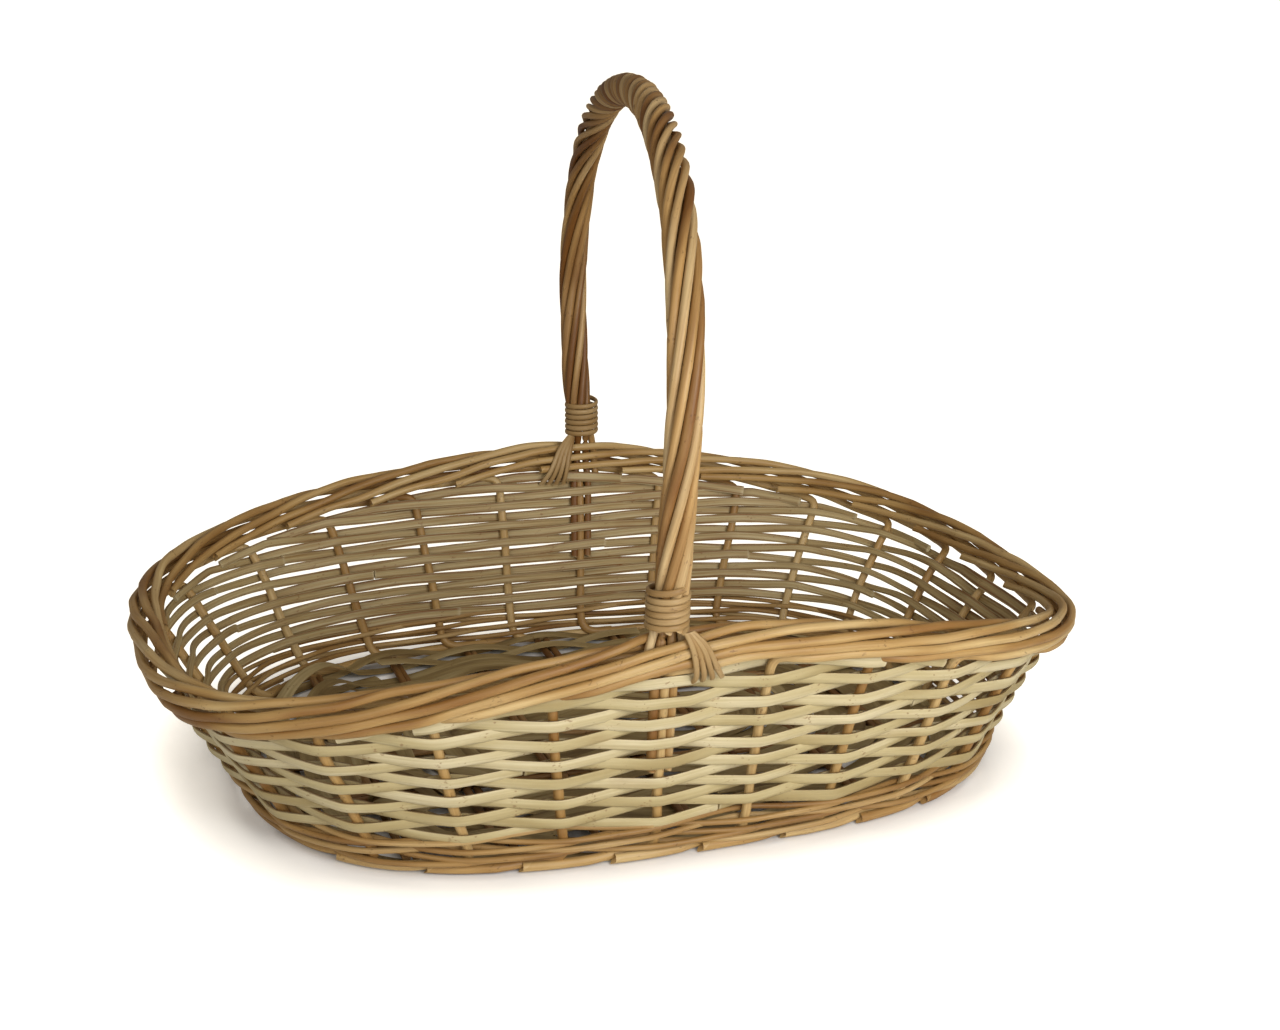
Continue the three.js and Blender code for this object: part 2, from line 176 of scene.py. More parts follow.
def bent_rod(points, sides, wide, thick, kind="round", tone=None, step=3.0, tip=1.0, slant=0.4, knobs=0.07,
             uneven=0.04, shape=None):
    """A rod laid along points, in millimetres. sides is the way its round face looks at each point, wide is
    its half size along the wall and thick its half size through it. tip is what is left of it at its far
    end, slant how askew its ends are cut, and shape, if given, how much of its width is left at each point.
    tone is 0 for dark to 1 for pale, or a pair: the butt's tone and the tip's."""
    if shape is not None:
        shape = even(np.column_stack([points, shape]), sides, step)[0][:, 3]
    points, sides = even(points, sides, step)
    count = len(points)
    length = step * (count - 1)
    lengths = min((lengths for lengths in CUTS if lengths >= count), default=max(CUTS))
    pattern = straight_rod(CUTS[lengths], kind)
    ahead = unit(np.gradient(points, axis=0))
    side = unit(sides - ahead * np.sum(sides * ahead, axis=1)[:, None])
    rise = np.cross(side, ahead)
    along = np.linspace(0, 1, count)
    size = (1 + (tip - 1) * along) * (1 + wander(count, 9, uneven))
    knot = buds_along(along * length)
    size = size * (1 + knobs * knot)
    mesh = pattern.data.copy()
    rod = bpy.data.objects.new("rod", mesh)
    bpy.context.collection.objects.link(rod)
    local = np.empty(len(mesh.vertices) * 3)
    mesh.vertices.foreach_get("co", local)
    local = local.reshape(-1, 3)
    at = local[:, 2].clip(0, 1)
    big = np.interp(at, along, size)
    across = local[:, 0] * wide * big
    if shape is not None:
        across *= np.interp(at, along, shape)
    through = local[:, 1] * thick * big
    end = np.where(at < 1e-5, 1, 0) - np.where(at > 1 - 1e-5, 1, 0)
    placed = read_rows(at, along, points) + read_rows(at, along, rise) * across[:, None]
    placed += read_rows(at, along, side) * through[:, None]
    placed += read_rows(at, along, ahead) * (end * slant * (across + wide))[:, None]
    mesh.vertices.foreach_set("co", (placed * MM).ravel())
    start = dice.uniform(0, GRAIN_ROOM)
    grain = np.stack([across, through, at * length + start], -1) * MM
    mesh.attributes.new("grain", "FLOAT_VECTOR", "POINT").data.foreach_set("vector", grain.ravel())
    if tone is None:
        tone = dice.random()
    butt_tone, tip_tone = tone if isinstance(tone, tuple) else (tone, tone)
    values = {
        "tone": butt_tone + (tip_tone - butt_tone) * at,
        "knot": np.interp(at, along, knot),
        "flat": np.where(local[:, 1] < -0.5, 1.0, 0.0) if kind == "split" else np.zeros(len(at)),
        "cut": np.abs(end),
    }
    for name, numbers in values.items():
        mesh.attributes.new(name, "FLOAT", "POINT").data.foreach_set("value", numbers)
    mesh.update()
    return rod


def piece_of(name, rods, material, slot, *nodes):
    """The rods of one piece, made one object with its finish, which stands for those CAD nodes."""
    bpy.ops.object.select_all(action="DESELECT")
    for rod in rods:
        rod.select_set(True)
    bpy.context.view_layer.objects.active = rods[0]
    if len(rods) > 1:
        bpy.ops.object.join()
    piece = rods[0]
    piece.name = name
    piece.data.name = name
    piece.data.materials.clear()
    piece.data.materials.append(material)
    bpy.ops.object.shade_smooth_by_angle(angle=math.radians(55))
    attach(piece, "root")
    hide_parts(*nodes)
    return piece


def feed(links, socket, value):
    """Gives a socket a plain value, or a link from another socket."""
    if isinstance(value, (int, float, tuple)):
        socket.default_value = value
    else:
        links.new(value, socket)


def maths(tree, kind, *values):
    step = tree.nodes.new("ShaderNodeMath")
    step.operation = kind
    for socket, value in zip(step.inputs, values):
        feed(tree.links, socket, value)
    return step.outputs[0]


def grain_group():
    """Willow's grain: long streaks, broad cloudy patches, and little marks round the buds."""
    group = bpy.data.node_groups.new("Willow grain", "ShaderNodeTree")
    group.interface.new_socket("Place", in_out="INPUT", socket_type="NodeSocketVector")
    group.interface.new_socket("Knot", in_out="INPUT", socket_type="NodeSocketFloat")
    for name in ("Streaks", "Patches", "Marks", "Stains", "Height"):
        group.interface.new_socket(name, in_out="OUTPUT", socket_type="NodeSocketFloat")
    nodes, links = group.nodes, group.links
    given = nodes.new("NodeGroupInput")
    result = nodes.new("NodeGroupOutput")

    def noise(scale, detail):
        stretch = nodes.new("ShaderNodeVectorMath")
        stretch.operation = "MULTIPLY"
        stretch.inputs[1].default_value = scale
        links.new(given.outputs["Place"], stretch.inputs[0])
        texture = nodes.new("ShaderNodeTexNoise")
        texture.inputs["Scale"].default_value = 1
        texture.inputs["Detail"].default_value = detail
        texture.inputs["Roughness"].default_value = 0.55
        links.new(stretch.outputs[0], texture.inputs["Vector"])
        return texture.outputs["Fac"]

    def spread(value, low, high):
        step = nodes.new("ShaderNodeMapRange")
        step.inputs["From Min"].default_value = low
        step.inputs["From Max"].default_value = high
        links.new(value, step.inputs["Value"])
        return step.outputs["Result"]

    streaks = spread(noise((750, 750, 16), 3), 0.32, 0.68)
    fibres = noise((2800, 2800, 110), 2)
    patches = spread(noise((70, 70, 13), 2), 0.35, 0.66)
    dots = spread(noise((620, 620, 420), 1), 0.6, 0.68)
    stray = spread(noise((480, 480, 260), 1), 0.75, 0.8)
    stains = spread(noise((38, 38, 11), 2), 0.63, 0.74)
    near_bud = spread(given.outputs["Knot"], 0.25, 0.75)
    marks = maths(group, "MAXIMUM", maths(group, "MULTIPLY", dots, near_bud), stray)
    height = maths(group, "MULTIPLY_ADD", streaks, 0.5, maths(group, "MULTIPLY", fibres, 0.5))
    links.new(streaks, result.inputs["Streaks"])
    links.new(patches, result.inputs["Patches"])
    links.new(marks, result.inputs["Marks"])
    links.new(stains, result.inputs["Stains"])
    links.new(height, result.inputs["Height"])
    return group


grain = grain_group()


def willow(name, dark, mid, pale, stain_and_edge_shade, split=None, pith=None, roughness=0.55, patchiness=0.5, relief=0.25,
           stain=0.25):
    """A willow finish: its colour runs from dark to pale by rod, by streak and by patch. Its fifth colour
    is that of its spots and stains, and also of the painted shade along the edges of a split rod's flat
    face; split and pith colour the flat face of a split rod."""
    material = bpy.data.materials.new(name)
    material.use_nodes = True
    tree = material.node_tree
    nodes, links = tree.nodes, tree.links
    surface = nodes["Principled BSDF"]

    def read(attribute):
        reader = nodes.new("ShaderNodeAttribute")
        reader.attribute_name = attribute
        return reader

    def mix(factor, first, second):
        step = nodes.new("ShaderNodeMix")
        step.data_type = "RGBA"
        for number, value in ((0, factor), (6, first), (7, second)):
            feed(links, step.inputs[number], value)
        return step.outputs[2]

    texture = nodes.new("ShaderNodeGroup")
    texture.node_tree = grain
    links.new(read("grain").outputs["Vector"], texture.inputs["Place"])
    links.new(read("knot").outputs["Fac"], texture.inputs["Knot"])
    streaks, patches = texture.outputs["Streaks"], texture.outputs["Patches"]
    level = maths(tree, "MULTIPLY", read("tone").outputs["Fac"], 1 - patchiness)
    level = maths(tree, "ADD", level, maths(tree, "MULTIPLY", patches, patchiness))
    ramp = nodes.new("ShaderNodeValToRGB")
    ramp.color_ramp.elements[0].color = dark
    ramp.color_ramp.elements[0].position = 0.05
    ramp.color_ramp.elements[1].color = pale
    ramp.color_ramp.elements[1].position = 0.9
    middle = ramp.color_ramp.elements.new(0.45)
    middle.color = mid
    links.new(level, ramp.inputs["Fac"])
    between_streaks = maths(tree, "SUBTRACT", 1, streaks)
    shade = mix(maths(tree, "MULTIPLY", between_streaks, 0.4), ramp.outputs["Color"], dark)
    if split:
        face = mix(streaks, split, mid)
        middle_of_face = nodes.new("ShaderNodeSeparateXYZ")
        links.new(read("grain").outputs["Vector"], middle_of_face.inputs[0])
        off = maths(tree, "ABSOLUTE", middle_of_face.outputs["X"])
        # Along the flat face: the pale stripe of the pith down its middle, then painted shade darkening its
        # two edges, where one row meets the next.
        for near, far, strength, paint in ((0.0012, 0.0003, 0.6, pith), (0.0016, 0.0028, 0.9, stain_and_edge_shade)):
            band = nodes.new("ShaderNodeMapRange")
            band.inputs["From Min"].default_value = near
            band.inputs["From Max"].default_value = far
            band.inputs["To Max"].default_value = strength
            links.new(off, band.inputs["Value"])
            face = mix(band.outputs["Result"], face, paint)
        shade = mix(read("flat").outputs["Fac"], shade, face)
    shade = mix(maths(tree, "MULTIPLY", texture.outputs["Stains"], stain), shade, stain_and_edge_shade)
    shade = mix(maths(tree, "MULTIPLY", texture.outputs["Marks"], 0.5), shade, stain_and_edge_shade)
    shade = mix(maths(tree, "MULTIPLY", read("cut").outputs["Fac"], 0.35), shade, pale)
    sheen = maths(tree, "ADD", maths(tree, "MULTIPLY", streaks, -0.12), roughness)
    links.new(shade, surface.inputs["Base Color"])
    links.new(sheen, surface.inputs["Roughness"])
    surface.inputs["Specular IOR Level"].default_value = 0.35
    bump = nodes.new("ShaderNodeBump")
    bump.inputs["Strength"].default_value = relief
    bump.inputs["Distance"].default_value = 0.0006
    links.new(texture.outputs["Height"], bump.inputs["Height"])
    links.new(bump.outputs["Normal"], surface.inputs["Normal"])
    return material


STAKES = 26
OVAL_EXPONENT = 3
RIM_HALF = (280, 196)
BASE_HALF = (231, 169)
STICK_RADIUS = 2.3
STICK_Z = 4.4
STICK_ENDS_SHORT = 7
PAIR_HALF_GAP = STICK_RADIUS * 1.08
SHORT_STICKS = (-165, -110, -55, 0, 55, 110, 165)
LONG_STICKS = (-56, 0, 56)
stick_willow = willow(
    "Stick willow", colour(96, 62, 30), colour(142, 102, 58), colour(176, 138, 90), colour(60, 36, 18)
)


def half_across(half_length, half_width, offset):
    """How far the base oval reaches to each side of its long axis, that far along it."""
    return half_width * (1 - (abs(offset) / half_length) ** OVAL_EXPONENT) ** (1 / OVAL_EXPONENT)


sticks = []
up = np.tile([0.0, 0, 1], (2, 1))
for x in SHORT_STICKS:
    reach = half_across(BASE_HALF[0], BASE_HALF[1], x) - STICK_ENDS_SHORT
    for shift in (-PAIR_HALF_GAP, PAIR_HALF_GAP):
        lean = dice.uniform(-1.5, 1.5)
        ends = np.array([[x + shift + lean, -reach, STICK_Z], [x + shift - lean, reach, STICK_Z]])
        sticks.append(bent_rod(ends, up, STICK_RADIUS, STICK_RADIUS, step=6))
for y in LONG_STICKS:
    reach = half_across(BASE_HALF[1], BASE_HALF[0], y) - STICK_ENDS_SHORT
    for shift in (-PAIR_HALF_GAP, PAIR_HALF_GAP):
        ends = np.array([[-reach, y + shift, STICK_Z], [reach, y + shift, STICK_Z]])
        sticks.append(bent_rod(ends, up, STICK_RADIUS * 0.9, STICK_RADIUS * 0.9, step=6))
piece_of("base_stick_pairs", sticks, stick_willow, "stick_willow", "base_sticks")


# The woven base: wide flat skeins of white willow, shaved from the rod, laid in rounds from the middle of
# the oval outwards. Each arches over one pair of sticks and dips under the next.
SKEIN_HALF_WIDTH = 5.2
SKEIN_HALF_THICKNESS = 0.55
SKEIN_PITCH = 9.6
SKEIN_ROUNDS = 17
OUTER_ROUND_IN = 5.5
TURNING_ROOM = 12
ARCH = 3.9
LOOSE_FROM_X = -90
LOOSE_BY_X = -150
skein_willow = willow(
    "Skein willow", colour(112, 90, 54), colour(168, 145, 98), colour(200, 180, 132), colour(96, 64, 32),
    roughness=0.6, patchiness=0.6,
)


def oval(halves, angle):
    """The point of an oval of those half sizes at each angle."""
    c, s = np.cos(angle), np.sin(angle)
    reach = (np.abs(c) ** OVAL_EXPONENT + np.abs(s) ** OVAL_EXPONENT) ** (-1 / OVAL_EXPONENT)
    return np.stack([halves[0] * reach * c, halves[1] * reach * s, 0 * c], -1)


skeins = []
for ring in range(SKEIN_ROUNDS):
    halves = [half - OUTER_ROUND_IN - SKEIN_PITCH * ring for half in BASE_HALF]
    angle = np.linspace(0, 2 * math.pi, 900) + 0.35 + 0.9 * ring
    line = oval(halves, angle)
    crossings = []
    for i in range(len(angle) - 1):
        here, there = line[i], line[i + 1]
        for x in SHORT_STICKS:
            if (here[0] - x) * (there[0] - x) < 0 and abs(x) < halves[0] - TURNING_ROOM:
                crossings.append(i)
        for y in LONG_STICKS:
            if (here[1] - y) * (there[1] - y) < 0 and abs(y) < halves[1] - TURNING_ROOM:
                crossings.append(i)
    crossings.sort()
    over_or_under = [1 if (crossing + ring) % 2 else -1 for crossing in range(len(crossings))]
    wave = np.sin(np.interp(np.arange(len(angle)), crossings, over_or_under) * math.pi / 2)
    near_left_end = np.clip((LOOSE_FROM_X - line[:, 0]) / (LOOSE_FROM_X - LOOSE_BY_X), 0, 1)
    loose = 1 + 2.0 * near_left_end * dice.uniform(0.4, 1.2)
    height = STICK_Z + ARCH * wave * np.where(wave > 0, loose, 0.92)
    line[:, 2] = np.maximum(height, SKEIN_HALF_THICKNESS + 0.2)
    up = np.tile([0.0, 0, 1], (len(line), 1))
    skeins.append(
        bent_rod(line, up, SKEIN_HALF_WIDTH, SKEIN_HALF_THICKNESS, kind="skein", step=3.5, slant=0, knobs=0,
                 uneven=0.06)
    )
piece_of("base_skeins", skeins, skein_willow, "skein_willow", "base_weave")


# The stakes: twenty-six buff willow rods. Each one lies along the foot with its cut butt showing, turns up
# through the wall, and is laid down at the top as one rod of the plaited border, its tip left inside.
RIM_MIDDLE_Z = 135
RIM_END_Z = 91
RIM_FALL_EXPONENT = 1.33
REAR_SHARE = (-1, -0.75, -0.2, 0.05, 0.45, 0.85, 1)
REAR_LIFT = (-3.4, -3.6, -6.0, -4.2, -2.6, 1.0, 2.6)
RIGHT_END_DRAWN_IN = 0.028
LEFT_END_DRAWN_IN = -0.01
RIGHT_FOOT_DRAWN_IN = 0.045
LEFT_FOOT_DRAWN_IN = 0.012
RIGHT_WAIST = 10
HANDLE_OFFSET_X = 40
STAKE_RADIUS = 2.6
FOOT_CENTRE_Z = 3.5
BORDER_RADIUS = 2.9
buff_willow = willow(
    "Buff willow", colour(138, 98, 52), colour(184, 148, 92), colour(210, 182, 128), colour(92, 58, 30),
    roughness=0.5,
)
start_angle = -math.pi / 2 - math.atan(HANDLE_OFFSET_X / RIM_HALF[0])
table_angles = start_angle + np.linspace(0, 2 * math.pi, 2881)
middle_oval = oval(((RIM_HALF[0] + BASE_HALF[0]) / 2, (RIM_HALF[1] + BASE_HALF[1]) / 2), table_angles)
table_lengths = np.concatenate([[0], np.cumsum(np.linalg.norm(np.diff(middle_oval, axis=0), axis=1))])
stake_spacing = table_lengths[-1] / STAKES


def angle_at(u):
    """The oval's angle at u, a place round the basket counted in stakes from the near leg of the handle."""
    turns = np.floor(u / STAKES)
    length = (u / STAKES - turns) * table_lengths[-1]
    return np.interp(length, table_lengths, table_angles) + 2 * math.pi * turns


def rim_height(u):
    place = oval((1, 1), angle_at(u))
    level = RIM_END_Z + (RIM_MIDDLE_Z - RIM_END_Z) * (1 - np.abs(place[..., 0]) ** RIM_FALL_EXPONENT)
    return level + np.interp(place[..., 0], REAR_SHARE, REAR_LIFT) * np.clip(place[..., 1], 0, 1)


def rim_point(u):
    point = oval(RIM_HALF, angle_at(u))
    share = point[..., 0] / RIM_HALF[0]
    point[..., 0] *= 1 - np.where(share > 0, RIGHT_END_DRAWN_IN, LEFT_END_DRAWN_IN) * np.abs(share)
    point[..., 2] = rim_height(u)
    return point


def base_point(u):
    point = oval(BASE_HALF, angle_at(u))
    share = point[..., 0] / BASE_HALF[0]
    point[..., 0] *= 1 - np.where(share > 0, RIGHT_FOOT_DRAWN_IN, LEFT_FOOT_DRAWN_IN) * np.abs(share)
    return point


def run_along(curve, u):
    """Which way a curve runs, level, at each place round the basket."""
    step = curve(u + 0.02) - curve(u - 0.02)
    step[..., 2] = 0
    return unit(step)


def in_foot(u, out, z):
    """Points of the foot that far out from its line and that high, and which way is out."""
    u = np.asarray(u, float)
    side = np.cross(run_along(base_point, u), [0, 0, 1])
    point = base_point(u) + side * np.broadcast_to(out, u.shape)[:, None]
    point[:, 2] = z
    return point, side


def lean_at(u):
    """Which way the wall leans up, and which way is out of it."""
    slope = unit(rim_point(u) - base_point(u))
    return slope, unit(np.cross(run_along(rim_point, u), slope))


def in_wall(u, z, out):
    """Points of the wall at height z, that far out of it, and which way is out."""
    u = np.asarray(u, float)
    z = np.broadcast_to(z, u.shape)
    slope, side = lean_at(u)
    share = (z / rim_height(u))[:, None]
    point = base_point(u) * (1 - share) + rim_point(u) * share
    right_end = np.clip(point[:, 0] / RIM_HALF[0], 0, 1) ** 4
    point[:, 0] -= RIGHT_WAIST * right_end * np.sin(math.pi * share[:, 0].clip(0, 1))
    return point + side * np.broadcast_to(out, u.shape)[:, None], side


def in_border(u, out, height):
    """Points of the border that far out of the rim's line and that far above it, and which way is out."""
    u = np.asarray(u, float)
    slope, side = lean_at(u)
    out = np.broadcast_to(out, u.shape)[:, None]
    return rim_point(u) + side * out + slope * np.broadcast_to(height, u.shape)[:, None], side


def joined_line(*parts):
    return np.concatenate([part[0] for part in parts]), np.concatenate([part[1] for part in parts])


BORDER_AHEAD = (0.02, 0.1, 0.28, 0.5, 1, 2, 2.6, 3.1, 3.7, 4.3, 4.8, 5.4, 5.9, 6.6)
BORDER_OUT = (0.4, 2.4, 6.0, 6.9, 7.1, 7.1, 6.4, 4.2, -0.5, -5.0, -7.1, -7.3, -7.3, -7.1)
BORDER_HEIGHT = (-10.0, -8.5, -7.4, -6.4, -3.8, 1.8, 5.4, 8.6, 10.2, 8.2, 4.4, 0.4, -2.8, -7.0)
TUCKED_IN_AHEAD = 3.65
LEG_ROOM = 5.9
LEG_ROOM_REACH = 0.27
UPRIGHT_FROM_Z = 10.0
BELOW_BORDER = 16
FOOT_BACK = (-1.52, -1.1, -0.75, -0.4, -0.14, -0.03)
FOOT_OUT = (2.6, 2.5, 2.0, -1.8, -1.6, 0)
FOOT_RISE = (0, 0, 0.3, 1.2, 1.8, 3.2)
for k in range(STAKES):
    back = np.arange(FOOT_BACK[0], FOOT_BACK[-1], 0.05)
    butt_z = FOOT_CENTRE_Z + np.interp(back, FOOT_BACK, FOOT_RISE)
    butt = in_foot(k + back, np.interp(back, FOOT_BACK, FOOT_OUT), butt_z)
    heights = np.arange(UPRIGHT_FROM_Z, float(rim_height(np.array([k]))[0]) - BELOW_BORDER, 3)
    upright = in_wall(np.full(len(heights), float(k)), heights, 0)
    ahead = np.arange(BORDER_AHEAD[0], BORDER_AHEAD[-1], 0.05)
    out = np.interp(ahead, BORDER_AHEAD, BORDER_OUT)
    face = np.where(ahead < TUCKED_IN_AHEAD, 1, -1)
    from_leg = (k + ahead + STAKES / 4) % (STAKES / 2) - STAKES / 4
    pushed = LEG_ROOM * np.exp(-((from_leg / LEG_ROOM_REACH) ** 4)) * (ahead > 1)
    out = face * np.maximum(face * out, pushed)
    laid = in_border(k + ahead, out, np.interp(ahead, BORDER_AHEAD, BORDER_HEIGHT))
    points, sides = even(*joined_line(butt, upright, laid), 2)
    points = soften(points, 2)
    count = len(points)
    up_the_wall = unit(np.cross(np.gradient(points, axis=0), sides))
    free = np.clip(np.abs(points[:, 2] - 4) / 20, 0, 1)
    points = points + sides * wander(count, 14, 0.6)[:, None]
    points = points + up_the_wall * (free * wander(count, 16, 0.9))[:, None]
    rod = bent_rod(points, sides, BORDER_RADIUS, BORDER_RADIUS, step=2.6, tip=0.86, slant=1.3)
    piece_of(f"stake_rod_{k + 1:02d}", [rod], buff_willow, "buff_willow", f"stake_{k + 1:02d}")


# The upsett wale: three thin brown rods twined together round the foot of the stakes. Each passes outside
# two stakes and inside the third, which sets the stakes upright and at their spacing.
WALE_RADIUS = 1.75
WALE_FIRST_Z = 7.8
WALE_PITCH = 2.9
WALE_ROWS = 6
WALE_THREADS = 3
WALE_SWING = STAKE_RADIUS + WALE_RADIUS + 0.2
wale_willow = willow(
    "Wale willow", colour(124, 88, 46), colour(168, 132, 80), colour(196, 166, 114), colour(92, 60, 32)
)
wales = []
for thread in range(WALE_THREADS):
    rounds = WALE_ROWS / WALE_THREADS
    u = np.arange(0, STAKES * rounds, 0.04) + thread * STAKES / WALE_THREADS
    risen = (u - u[0]) / STAKES * WALE_THREADS * WALE_PITCH
    phase = (u + thread) % WALE_THREADS
    out = np.interp(phase, (0, 0.5, 1, 2, 2.5, 3), (-1, 0, 1, 1, 0, -1)) * WALE_SWING
    climb = np.interp(phase, (0, 0.5, 2.5, 3), (0, -1.3, 1.3, 0))
    points, sides = in_wall(u, WALE_FIRST_Z + risen + climb, out)
    points, sides = even(points, sides, 2)
    points = soften(points, 3)
    wales.append(bent_rod(points, sides, WALE_RADIUS, WALE_RADIUS, step=3.6, tip=0.9))
piece_of("wale_rods", wales, wale_willow, "wale_willow", "upsett_wale")


# The siding: nine rows of split white willow woven in and out of the stakes, each row of two lengths whose
# square-cut butts rest inside, beside a stake. The round skin faces out and the flat pith face in.
ROW_PITCH = 6.44
FIRST_ROW_Z = 28
FULL_ROWS = 9
PACKING_ROWS = 5
ROW_HALF_HEIGHT = 4.0
ROW_CEILING = 11.6
REAR_THINNING = 0.11
END_THINNING = 0.22
ROW_HALF_THICKNESS = 1.6
ROW_SWING = 4.3
FOLD = 0.055
LEG_WIDE_Z = (50, 60, 90, 105)
LEG_WIDE = (0, 0.08, 0.12, 0.2)
white_willow = willow(
    "White willow", colour(160, 140, 94), colour(192, 176, 131), colour(216, 203, 166), colour(120, 74, 38),
    split=colour(140, 110, 66), pith=colour(178, 152, 104), roughness=0.58, stain=0.45,
)


def passes_inside(stake, row):
    return (stake + row) % 2 != 0


def row_rod(row, start, end, tip=0.9):
    """One split rod of that row, woven from start to end: out round one stake and in behind the next."""
    u = np.arange(start, end, 0.02)
    stake = np.round(u)
    away = u - stake
    level = FIRST_ROW_Z + ROW_PITCH * row
    wide = np.where(stake % (STAKES // 2) == 0, np.interp(level, LEG_WIDE_Z, LEG_WIDE), 0)
    away = np.maximum(np.abs(away) - wide, 0) * 0.5 / (0.5 - wide)
    side = np.where(passes_inside(stake, row), -1.0, 1.0)
    bell = 1 - (np.sqrt(away**2 + FOLD**2) - FOLD) / (math.sqrt(0.25 + FOLD**2) - FOLD)
    out = side * bell * ROW_SWING * (1 + wander(len(u), 50, 0.06))
    z = level - 0.9 * side * bell + wander(len(u), 60, 0.9) + wander(len(u), 25, 0.35)
    spare = rim_height(u) - ROW_CEILING - z
    z = z + np.minimum(spare, 0)
    points, sides = in_wall(u, z, out)
    place = oval((1, 1), angle_at(u))
    at_end = np.clip((np.abs(place[:, 0]) - 0.6) / 0.35, 0, 1)
    left = 1 - (REAR_THINNING + END_THINNING * at_end) * np.clip(place[:, 1] * 2.5, 0, 1)
    half_height = ROW_HALF_HEIGHT * dice.uniform(0.93, 1.06)
    return bent_rod(points, sides, half_height, ROW_HALF_THICKNESS, kind="split", step=2.8, tip=tip,
                    slant=0, knobs=0.04, shape=left)


FIRST_BUTTS = (15, 8, 9, 18, 11, 4, 13, 6, 17)
BUTT_BEFORE_STAKE = 0.3
for row in range(FULL_ROWS):
    first = FIRST_BUTTS[row] + (0 if passes_inside(FIRST_BUTTS[row], row) else 1)
    second = first + 12
    rods = [
        row_rod(row, first - BUTT_BEFORE_STAKE, second - BUTT_BEFORE_STAKE),
        row_rod(row, second - BUTT_BEFORE_STAKE, first + STAKES - BUTT_BEFORE_STAKE),
    ]
    piece_of(f"siding_row_{row + 1:02d}", rods, white_willow, "white_willow", f"weaver_{row + 1:02d}")


# The packing: five shorter rows of the same split willow on each long side, which build the wall up to the
# handle, the last of them doubled. Each stops, square-cut, where the border leaves it no more room.
LAST_DROOP = 5


def packing_rod(row, middle):
    """One rod of that row, as long each way from the handle as the border lets it be."""
    ends = []
    for way in (-1, 1):
        reach = np.arange(0, STAKES / 4, 0.05)
        droop = FIRST_ROW_Z + ROW_PITCH * row - (rim_height(middle + way * reach) - ROW_CEILING)
        ends.append(middle + way * reach[np.argmax(droop > LAST_DROOP)])
    return row_rod(row, ends[0], ends[1], tip=0.95)


for side_name, middle in (("front", 0), ("rear", STAKES // 2)):
    for i in range(PACKING_ROWS):
        rods = [packing_rod(FULL_ROWS + i, middle)]
        if i == PACKING_ROWS - 1:
            rods.append(packing_rod(FULL_ROWS + PACKING_ROWS, middle))
        piece_of(f"packing_{side_name}_{i + 1:02d}", rods, white_willow, "white_willow",
                 f"{side_name}_packing_{i + 1:02d}")


# The handle's core: one thick buff willow rod bent over from side to side. Its ends stop inside the
# lashings and the strands are twisted round it, so it is held fast and hardly shows.
CORE_RADIUS = 4.6
HANDLE_TOP_Z = 405.5
HANDLE_SPRING_Z = 250
HANDLE_HALF_SPAN = 216
BOW_EXPONENT = 2.09
BOW_SWAY = (5.5, -12.87, -21.07, 11.87, 16.27)
LASHING_BOTTOM_Z = 148
LASHING_TOP_Z = 171
handle_willow = willow(
    "Handle willow", colour(118, 78, 38), colour(182, 144, 90), colour(214, 188, 140), colour(84, 50, 26),
    roughness=0.5, patchiness=0.35,
)
front_leg = rim_point(np.array([0.0]))[0] * [1, 1, 0]
rim_reach = np.linalg.norm(front_leg)
front_way = front_leg / rim_reach
plane_normal = np.cross([0, 0, 1], front_way)


def leg_reach(z):
    """How far a leg of the handle stands from the middle of the basket at height z."""
    share = (z - RIM_MIDDLE_Z) / (HANDLE_SPRING_Z - RIM_MIDDLE_Z)
    return rim_reach + (HANDLE_HALF_SPAN - rim_reach) * share


angle = np.linspace(0, math.pi, 241)
c, s = np.cos(angle), np.sin(angle)
r = (np.abs(c) ** BOW_EXPONENT + np.abs(s) ** BOW_EXPONENT) ** (-1 / BOW_EXPONENT)
low_reach = leg_reach(LASHING_BOTTOM_Z)
bow_reach = np.concatenate([[low_reach], HANDLE_HALF_SPAN * r * c, [-low_reach]])
bow_z = np.concatenate(
    [[LASHING_BOTTOM_Z], HANDLE_SPRING_Z + (HANDLE_TOP_Z - HANDLE_SPRING_Z) * r * s, [LASHING_BOTTOM_Z]]
)
bow = front_way * bow_reach[:, None] + np.array([0, 0, 1]) * bow_z[:, None]
bow, _ = even(bow, bow, 2)
past = np.linspace(-1, 1, len(bow))
bow_sway = sum(amount * past**power for power, amount in enumerate(BOW_SWAY))
bow = bow + plane_normal * bow_sway[:, None]
bow_ahead = unit(np.gradient(bow, axis=0))
bow_outer = np.cross(plane_normal, bow_ahead)
bow_across = np.cross(bow_ahead, bow_outer)
core_line = bow[8:-8]
core = bent_rod(core_line, np.tile(plane_normal, (len(core_line), 1)), CORE_RADIUS, CORE_RADIUS, step=4)
piece_of("bow_core", [core], handle_willow, "handle_willow", "handle_core")


# The rope: eight buff and brown rods laid side by side round the core and twisted over the bow. Below each
# lashing four of them spread into a flat fan, go down through the border and are tucked inside the wall.
STRANDS = 8
STRAND_RADIUS = 2.7
STRAND_RING = 7.1
LASHED_RING = 6.9
HANDLE_TURNS = 5
CROWN_Z = (300, 385)
CROWN_SQUEEZE = 0.24
CROWN_RISE = 0.5
FAN_PITCH = 5.8
LEG_HEIGHT = (6, -2, -14)
LEG_SPREADS = ((1, 1, 1.7), (1, 1, 1.25))
LEG_TIPS = (58, 112)
FAR_LEG_PAINTED_SHADE = 0.55
STRAND_TONES = (0.75, 0.2, 0.95, 0.45, 0.1, 0.85, 0.35, 0.6)

# The twist is tightest over the crown and eases off down the legs.
done = 2 * np.linspace(0, 1, len(bow)) - 1
tightened = 0.6 * np.sin(math.pi * done) / math.pi + 0.3 * np.sin(2 * math.pi * done) / (2 * math.pi)
rope_turn = math.pi * HANDLE_TURNS * (done + tightened)
rope_turn = rope_turn - rope_turn[0]


